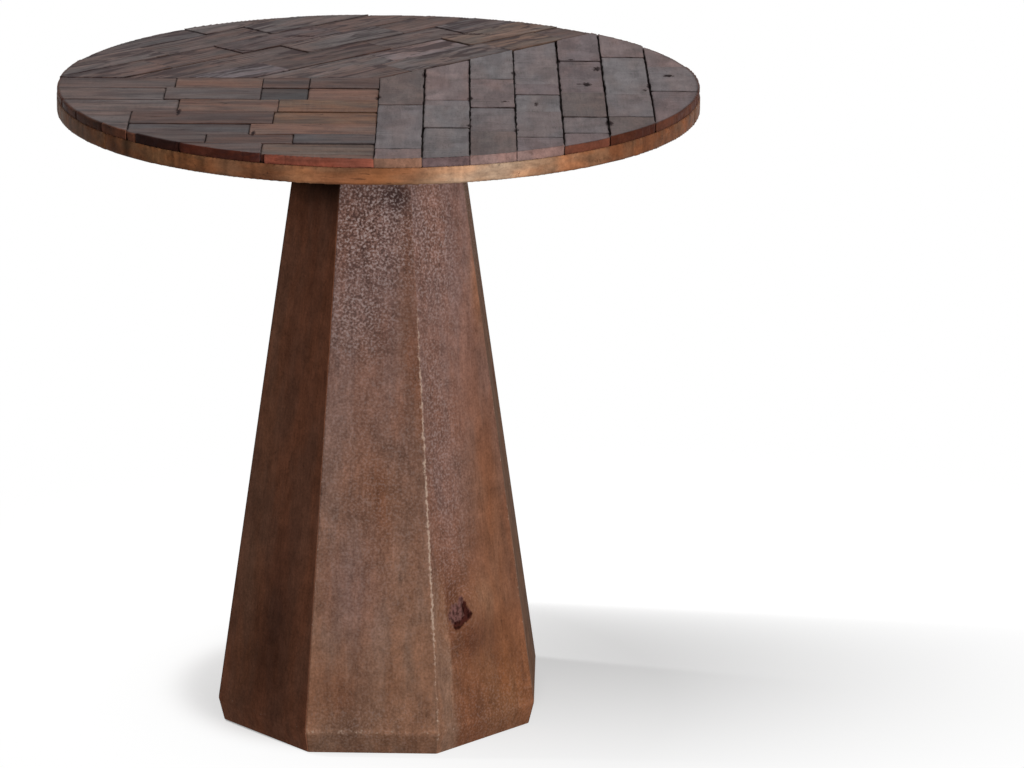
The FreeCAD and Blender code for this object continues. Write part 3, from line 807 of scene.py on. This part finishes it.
def closeJoints(plank):
    places, normals = pointData(plank)
    across = places[:, 1]
    for way, edge in ((-1, across.min()), (1, across.max())):
        if abs(edge) < coreLook["jointReach"]:
            across += way * coreLook["jointSwell"] * rise(np.abs(across - edge), *coreLook["swellFrom"])
    radius = np.maximum(np.hypot(*places.T[:2]), 0.001)
    places[:, :2] *= np.minimum(1, (topRadius - coreLook["rimGap"]) / radius)[:, None]
    movePoints(plank, places)


def makePlank(number, material, guides, chance):
    nodeName = "core_plank_%d" % number
    plank = copyNode(nodeName, nodeName + "_board")
    remesh(plank, coreLook["voxel"])
    moveGuides(guides, chance)
    wear(plank, "clouds", coreLook["wear"], guides["long"])
    wear(plank, "splits", coreLook["chips"], guides["split"])
    applyModifiers(plank)
    closeJoints(plank)
    places, normals = pointData(plank)
    x, y, z = places.T
    around = np.degrees(np.arctan2(x, -y))  # 0 at the front, positive to the right
    radius = np.hypot(x, y)
    onRim = riseFrom(radius, topRadius, coreLook["rimEdge"])[:, None]
    plankTone = coreTones[coreLook["plankTones"][number - 1]]
    colour = between(plankTone, rimTone(around) * stainRim(around), onRim)
    # what shows down in the mosaic's joints is dark
    covered = (rise(normals[:, 2], 0.4, 0.8) * (radius < coreLook["coverReach"]))[:, None]
    colour = between(colour, coreTones["soot"], covered)
    lowEdge = riseFrom(z, tableHeight, coreLook["lowEdge"])[:, None] * onRim
    paintBoard(plank, colour * (1 - 0.2 * lowEdge), chance.uniform(-3, 3, 3))
    pickOnly(plank)
    bpy.ops.object.shade_smooth()
    plank.data.materials.append(material)
    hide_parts(nodeName)
    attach(plank, "root")


plankWood = makeWood("core_plank_wood", coreWood)
guides = makeGuides({"long": (0.40, 0.08, 0.08), "split": (0.20, 0.02, 0.02)})
for number in range(1, 6):
    makePlank(number, plankWood, guides, chance)
dropGuides(guides)
print("planks ready")


# the pedestal

pedestalLook = {
    "footReach": 0.1535,   # from the axis to the flat outside, at the top of the foot bevel
    "neckReach": 0.0745,
    "bevelInset": 0.0053,
    "lowLevel": 0.0015,
    "bevelLevel": 0.0245,
    "neckLevel": 0.584,
    "arrisEasing": 0.0004,
    "edgeEasing": 0.00025,
    "levels": 74,          # cuts that make the fine mesh of the outside
    "fans": 13,
    "edgeFan": 0.975,      # two cuts close to the arrises, for the worn line
    "fineCuts": 2,
    "wear": 0.0004,        # of the face, and of its cracks
    "dent": 0.002,         # of a knot
    "faceDepth": 0.0035,   # what lies less deep than this is the outside
    "fineDepth": 0.002,    # and than this gets the fine mesh
    "bevelCuts": (-0.0045, -0.0016, 0.0016),  # close to the bevel's edge, for its worn line
    "bevelFade": 0.020,    # the height under the bevel's edge where its tone is full
    "toneLevels": (0.05, 0.5),     # the heights between which the low tone turns into the high one
    "grainBend": (2.2, 0.7, 0.4),  # round a knot: times its reach, and how far across and upwards
    "wearEdges": (0.001, 0.008),   # from the arrises, and the next from the bevel's edge, where wear starts
    "wearLevels": (0.0, 0.0095),
    "wornReach": 0.0019,
    # the height, and how far the arrises are rubbed there
    "wornHeights": [(0.0, 0.6), (0.09, 0.7), (0.13, 0.95), (0.26, 1.0), (0.36, 0.85), (0.42, 0.65),
                    (0.47, 0.45), (0.52, 0.25), (0.60, 0.2)],
}
staveAngles = {"front": -90, "front_right": -45, "right": 0, "back_right": 45,
               "back": 90, "back_left": 135, "left": 180, "front_left": -135}
corner = math.pi / len(staveAngles)  # from the middle of a face to an arris
staveSlope = (pedestalLook["footReach"] - pedestalLook["neckReach"]) / (
    pedestalLook["neckLevel"] - pedestalLook["bevelLevel"])
# the darkest tone is painted shade, where the table top hangs over the boards
staveTones = palette(
    brown=(134, 100, 81), mauve=(127, 97, 89), rust=(124, 80, 54), amber=(150, 98, 58),
    chestnut=(121, 82, 62), walnut=(128, 84, 65), umber=(98, 62, 45), sand=(144, 104, 80),
    taupe=(120, 94, 80), shadow=(58, 42, 42), soot=(26, 17, 14))
# what a board has where its own entry says nothing
plainStave = {"bevelRubbed": 0.6, "bevelTone": 0.86, "strip": None, "patches": [], "sheen": [], "knots": [],
              "hollows": []}
# low and high tone, how far each arris (anticlockwise first) and the bevel's edge are rubbed, and in
# the board's own measure (across, height, reach across and upwards) the patches of another tone, the
# parts with a painted highlight of broken shine, the knots and their dark hollows
staveLooks = {
    "front": {
        "tones": ("brown", "mauve"), "rubbed": (1.0, 0.45), "bevelRubbed": 0.8,
        "patches": [
            (0.0, 0.535, 0.06, 0.017, "shadow", 0.24), (0.010, 0.25, 0.030, 0.045, "chestnut", 0.8),
            (0.030, 0.42, 0.010, 0.10, "chestnut", 0.6), (-0.03, 0.06, 0.05, 0.03, "chestnut", 0.6),
            (0.020, 0.532, 0.014, 0.014, "shadow", 0.75), (-0.02, 0.16, 0.03, 0.06, "mauve", 0.7),
            (0.045, 0.34, 0.012, 0.08, "rust", 0.5)],
        "sheen": [(-0.005, 0.505, 0.05, 0.07, 1.0), (-0.015, 0.43, 0.04, 0.06, 0.65),
                  (0.0, 0.28, 0.09, 0.22, 0.22), (0.0, 0.03, 0.09, 0.04, 0.2)],
    },
    "front_right": {
        "tones": ("chestnut", "mauve"), "rubbed": (0.5, 1.0), "bevelTone": 1.0,
        "patches": [
            (0.035, 0.05, 0.03, 0.05, "amber", 0.35), (0.030, 0.24, 0.022, 0.10, "rust", 0.6),
            (0.040, 0.43, 0.010, 0.05, "amber", 0.45), (0.0, 0.07, 0.035, 0.07, "rust", 0.6),
            (-0.03, 0.25, 0.02, 0.08, "mauve", 0.6), (-0.010, 0.104, 0.028, 0.018, "umber", 0.85),
            (-0.031, 0.150, 0.009, 0.013, "umber", 0.7), (0.006, 0.140, 0.018, 0.018, "sand", 0.7)],
        "strip": (-0.039, 0.16, "brown"),
        "sheen": [(-0.02, 0.50, 0.04, 0.10, 0.6), (-0.03, 0.30, 0.03, 0.20, 0.35),
                  (0.0, 0.03, 0.08, 0.05, 0.16)],
        "knots": [(-0.0245, 0.1320, 0.0125, 0.0112, 1.0), (-0.0195, 0.1430, 0.0038, 0.0060, 0.9),
                  (-0.0122, 0.1290, 0.0046, 0.0060, 0.9)],
        "hollows": [(-0.0150, 0.1365, 0.0034, 0.0060, 1.0), (-0.0130, 0.1310, 0.0036, 0.0056, 1.0),
                    (-0.0098, 0.1270, 0.0044, 0.0040, 1.0), (-0.0165, 0.1245, 0.0055, 0.0032, 1.0),
                    (-0.0215, 0.1222, 0.0050, 0.0034, 1.0), (-0.0266, 0.1205, 0.0052, 0.0046, 1.0)],
    },
    "right": {
        # painted light: this board's tone is lightened against the shade on its narrow edge beside the front
        # right board
        "tones": ("taupe", "taupe"), "rubbed": (0.4, 0.4),
        "sheen": [(0.0, 0.5, 0.05, 0.1, 0.5)], "knots": [(0.02, 0.33, 0.008, 0.013, 0.8)],
    },
    "back_right": {
        "tones": ("brown", "chestnut"), "rubbed": (0.5, 0.4),
        "patches": [(0.0, 0.16, 0.03, 0.08, "rust", 0.6), (-0.02, 0.40, 0.02, 0.10, "mauve", 0.7)],
    },
    "back": {
        "tones": ("chestnut", "mauve"), "rubbed": (0.5, 0.5),
        "patches": [(0.03, 0.10, 0.03, 0.07, "amber", 0.4), (-0.03, 0.30, 0.02, 0.12, "rust", 0.5)],
        "sheen": [(0.01, 0.45, 0.05, 0.12, 0.6)],
        "knots": [(-0.015, 0.21, 0.010, 0.015, 1.0)], "hollows": [(-0.010, 0.205, 0.005, 0.007, 1.0)],
    },
    "back_left": {
        "tones": ("brown", "brown"), "rubbed": (0.5, 0.4),
        "patches": [(0.01, 0.28, 0.03, 0.10, "mauve", 0.7)],
    },
    "left": {
        "tones": ("chestnut", "brown"), "rubbed": (0.4, 0.5),
        "patches": [(-0.02, 0.12, 0.03, 0.08, "rust", 0.6)],
        "sheen": [(0.0, 0.5, 0.05, 0.1, 0.4)], "knots": [(0.01, 0.41, 0.006, 0.010, 0.8)],
    },
    "front_left": {
        # painted light: a bevel tone above 1 lightens the bevel, which the lamps leave dark
        "tones": ("walnut", "walnut"), "rubbed": (0.4, 0.4), "bevelRubbed": 0.4, "bevelTone": 1.5,
        "patches": [
            # painted shade: the top of this board is dark where the table top hangs over it
            (0.0, 0.556, 0.20, 0.045, "soot", 0.6), (0.0, 0.548, 0.20, 0.022, "soot", 1.0),
            (-0.035, 0.20, 0.02, 0.25, "brown", 0.4), (0.0, 0.09, 0.035, 0.05, "umber", 0.7),
            (0.008, 0.11, 0.020, 0.09, "shadow", 0.35)],
    },
}


def cutPiece(spot, normal, trim=False):
    bpy.ops.mesh.select_all(action="SELECT")
    bpy.ops.mesh.bisect(plane_co=spot, plane_no=normal, use_fill=trim, clear_outer=trim)


def faceReach(level):  # from the axis to the flat outside at a height
    look = pedestalLook
    return look["footReach"] - (level - look["bevelLevel"]) * staveSlope


def easeEdges():
    look = pedestalLook
    bevelSlope = look["bevelInset"] / (look["bevelLevel"] - look["lowLevel"])
    for side in (1, -1):
        for level, lean in ((look["neckLevel"], staveSlope), (look["bevelLevel"], -bevelSlope)):
            tilt = math.atan(lean / math.cos(corner))
            flat = math.cos(tilt)
            normal = Vector((math.cos(corner) * flat, side * math.sin(corner) * flat, math.sin(tilt)))
            reach = faceReach(level)
            spot = Vector((reach, side * reach * math.tan(corner), level)) - normal * look["arrisEasing"]
            cutPiece(spot, normal, trim=True)
    tilt = (math.atan(staveSlope) - math.atan(bevelSlope)) / 2
    normal = Vector((math.cos(tilt), 0, math.sin(tilt)))
    spot = Vector((look["footReach"], 0, look["bevelLevel"])) - normal * look["edgeEasing"]
    cutPiece(spot, normal, trim=True)


def selectFaces(piece, chosen):  # ends in edit mode
    bpy.context.tool_settings.mesh_select_mode = (False, False, True)
    mesh = piece.data
    mesh.vertices.foreach_set("select", [False] * len(mesh.vertices))
    mesh.edges.foreach_set("select", [False] * len(mesh.edges))
    mesh.polygons.foreach_set("select", chosen)
    editMode(True)


def cutGrid(stave):  # a fine mesh on the flat outside, so that it can be worn and painted
    look = pedestalLook
    for above in look["bevelCuts"]:
        cutPiece((0, 0, look["bevelLevel"] + above), (0, 0, 1))
    for step in range(1, look["levels"]):
        level = look["bevelLevel"] + (look["neckLevel"] - look["bevelLevel"]) * step / look["levels"]
        cutPiece((0, 0, level), (0, 0, 1))
    fans = [-look["edgeFan"], look["edgeFan"]]
    for step in range(1, look["fans"]):
        fans.append(2 * step / look["fans"] - 1)
    for share in fans:
        fan = corner * share
        cutPiece((0, 0, 0), (-math.sin(fan), math.cos(fan), 0))
    facing = math.atan(staveSlope)
    outward = Vector((math.cos(facing), 0, math.sin(facing)))
    editMode(False)
    chosen = []
    for face in stave.data.polygons:
        onFace = face.center.x > faceReach(face.center.z) - look["fineDepth"]
        chosen.append(onFace and face.normal.dot(outward) > 0.9995)
    selectFaces(stave, chosen)
    bpy.ops.mesh.subdivide(number_cuts=look["fineCuts"])
    editMode(False)


def paintStave(stave, own, chance):
    look = pedestalLook
    places, normals = pointData(stave)
    face = places[:, 1:]
    y, z = face.T
    outside, fromArris = staveMeasures(places)
    rubbed = np.where(y > 0, *own["rubbed"]) * np.interp(z, *zip(*look["wornHeights"]))
    worn = np.exp(-(fromArris / look["wornReach"]) ** 2) * rubbed * outside
    bevelEdge = np.exp(-((z - look["bevelLevel"]) / look["wornReach"]) ** 2) * own["bevelRubbed"] * outside

    low, high = (staveTones[tone] for tone in own["tones"])
    share = rise(z, *look["toneLevels"])[:, None]
    colour = between(low, high, share)
    onBevel = rise(z, look["bevelLevel"], look["bevelFade"])
    # a paler worn line at the bevel's edge, and the bevel's tone times the board's bevelTone, which is
    # painted light where above 1
    colour *= (1 + 0.5 * bevelEdge + (own["bevelTone"] - 1) * onBevel)[:, None]
    for side, level, reachSide, reachUp, tone, amount in own["patches"]:
        patch = knotStrength(face, [(side, level, reachSide, reachUp, amount)])[:, None]
        colour = between(colour, staveTones[tone], patch)
    if own["strip"]:  # a narrow strip of another board along the left arris, up to a height
        side, level, tone = own["strip"]
        part = (riseFrom(y, side, (0.001, -0.001)) * riseFrom(z, level, (0.03, -0.03)))[:, None]
        colour = between(colour, staveTones[tone], part)

    shift = np.tile(chance.uniform(-3, 3, 3), (len(places), 1))
    bend, across, upwards = look["grainBend"]
    for side, level, reachSide, reachUp, amount in own["knots"]:
        near = knotStrength(face, [(side, level, reachSide * bend, reachUp * bend, amount)])
        shift[:, 1] -= (y - side) * near * across
        shift[:, 2] -= (z - level) * near * upwards
    paintPoints(stave, "worn", np.maximum(worn, bevelEdge))
    paintPoints(stave, "knot", knotStrength(face, own["knots"]) * outside)
    paintPoints(stave, "hollow", knotStrength(face, own["hollows"]) * outside)
    # painted highlight: where the broken shine is painted into the colour
    paintPoints(stave, "sheen", knotStrength(face, own["sheen"]))
    paintBoard(stave, colour, shift)


def staveMeasures(places):  # whether a point is on the outside, and how far it is from an arris
    x, y, z = places.T
    outside = x > np.array([faceReach(level) for level in z]) - pedestalLook["faceDepth"]
    fromArris = np.clip((x * math.tan(corner) - np.abs(y)) * math.cos(corner), 0, 1)
    return outside, fromArris


def makeStave(name, angle, material, guides, chance):
    look = pedestalLook
    own = dict(plainStave, **staveLooks[name])
    nodeName = "stave_" + name
    stave = copyNode(nodeName, nodeName + "_board")
    turnAboutAxis(-angle, stave)  # the board now faces +X
    editMode(True)
    bpy.ops.mesh.select_all(action="SELECT")
    bpy.ops.mesh.dissolve_limited(angle_limit=math.radians(0.5))
    easeEdges()
    cutGrid(stave)

    places, normals = pointData(stave)
    outside, fromArris = staveMeasures(places)
    groups = {
        "outerFace": rise(fromArris, *look["wearEdges"]) * outside
        * riseFrom(places[:, 2], look["bevelLevel"], look["wearLevels"]),
        "knotDent": knotStrength(places[:, 1:], own["hollows"]) * outside,
    }
    for groupName, shares in groups.items():
        group = stave.vertex_groups.new(name=groupName)
        for place in np.where(shares > 0.02)[0]:
            group.add([int(place)], float(shares[place]), "REPLACE")
    moveGuides(guides, chance)
    wear(stave, "clouds", look["wear"], guides["long"], "outerFace")
    wear(stave, "splits", look["wear"], guides["split"], "outerFace")
    if own["hollows"]:
        dent = wear(stave, "dent", look["dent"], None, "knotDent")
        dent.direction, dent.texture_coords = "X", "LOCAL"
    applyModifiers(stave)

    paintStave(stave, own, chance)
    stave.vertex_groups.clear()
    turnAboutAxis(angle, stave)
    bpy.ops.object.shade_smooth_by_angle(angle=math.radians(12))
    stave.data.materials.append(material)
    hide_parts(nodeName)
    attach(stave, "root")


pedestalWood = makeWood("pedestal_wood", dict(staveWood, grainHeading=0))
guides = makeGuides({"long": (0.08, 0.08, 0.40), "split": (0.02, 0.02, 0.24)})
for name, angle in staveAngles.items():
    makeStave(name, angle, pedestalWood, guides, chance)
dropGuides(guides)
print("pedestal ready")


# hidden boards, screws, bolts and glides keep their shapes and get their finishes

boardLooks = {
    "neck_block": {"tone": paint(176, 140, 98), "axis": "z"},
    "middle_brace": {"tone": paint(170, 134, 94), "axis": "x"},
    "foot_plate": {"tone": paint(112, 78, 56), "axis": "x"},
    "foot_cleats": {"tone": paint(182, 148, 106), "axis": "x"},
    "corner_tongues": {"tone": paint(188, 156, 116), "axis": "z"},
    "mounting_plate": {"tone": paint(96, 66, 48), "axis": "x"},
}
metalLooks = {
    "top_bolts": {"colour": paint(150, 152, 156), "roughness": 0.34, "scratch": 260},
    "bolt_washers": {"colour": paint(166, 168, 170), "roughness": 0.38, "scratch": 300},
    "mounting_screws": {"colour": paint(172, 160, 118), "roughness": 0.36, "scratch": 400},
    "foot_plate_screws": {"colour": paint(172, 160, 118), "roughness": 0.40, "scratch": 400},
    "glide_nails": {"colour": paint(146, 146, 148), "roughness": 0.44, "scratch": 420},
    "threaded_inserts": {"colour": paint(190, 160, 92), "roughness": 0.30, "scratch": 350},
}
glideLook = {"colour": paint(58, 52, 48), "roughness": 0.5, "grain": 900}


def makeMetal(name, look):
    material = newMaterial(name)
    coords = ownPlace()
    brushed = grained(coords, (look["scratch"], look["scratch"] * 6), "x", detail=3)
    tarnish = noise(coords, scale=90, detail=4)
    dull = blend(1.0, look["colour"], (0.55, 0.53, 0.50, 1), "MULTIPLY")
    colour = blend(times(rescale(tarnish, 0.45, 0.7), 0.6), look["colour"], dull)
    gloss = calc("ADD", times(brushed, 0.18), look["roughness"] - 0.06)
    gloss = calc("ADD", gloss, times(tarnish, 0.12))
    normal = bump(brushed, 0.0001, 0.6)
    addSurface({"Base Color": colour, "Roughness": gloss, "Metallic": 1.0, "Normal": normal})
    return material


def makeNylon(name, look):
    material = newMaterial(name)
    coords = ownPlace()
    grain = noise(coords, scale=look["grain"], detail=2)
    scuffs = grained(coords, (60, 500), "x", detail=4)
    scuffed = blend(1.0, look["colour"], (1.7, 1.65, 1.6, 1), "MULTIPLY")
    colour = blend(times(rescale(scuffs, 0.55, 0.75), 0.6), look["colour"], scuffed)
    gloss = calc("ADD", times(scuffs, 0.2), look["roughness"] - 0.1)
    normal = bump(scuffs, 0.0001, 0.6, bump(grain, 0.0001, 0.5))
    addSurface({"Base Color": colour, "Roughness": gloss, "Normal": normal})
    return material


def dressNode(nodeName, material):
    for slot in cadNodes[nodeName].material_slots:
        slot.material = material
    if not cadNodes[nodeName].material_slots:
        cadNodes[nodeName].data.materials.append(material)


for nodeName, look in boardLooks.items():
    board = dict(staveWood, grainHeading=0, knots=False, worn=False, speckled=False, sawMarks=0.10,
                 crackReach=0.003, roughness=(0.55, 0.75), poreDark=0.35,
                 poreColour=tuple(part * 0.35 for part in look["tone"][:3]) + (1.0,), **look)
    dressNode(nodeName, makeWood(nodeName + "_wood", board))
for nodeName, look in metalLooks.items():
    dressNode(nodeName, makeMetal(nodeName + "_metal", look))
dressNode("foot_glides", makeNylon("glide_nylon_black", glideLook))
print("fittings ready")
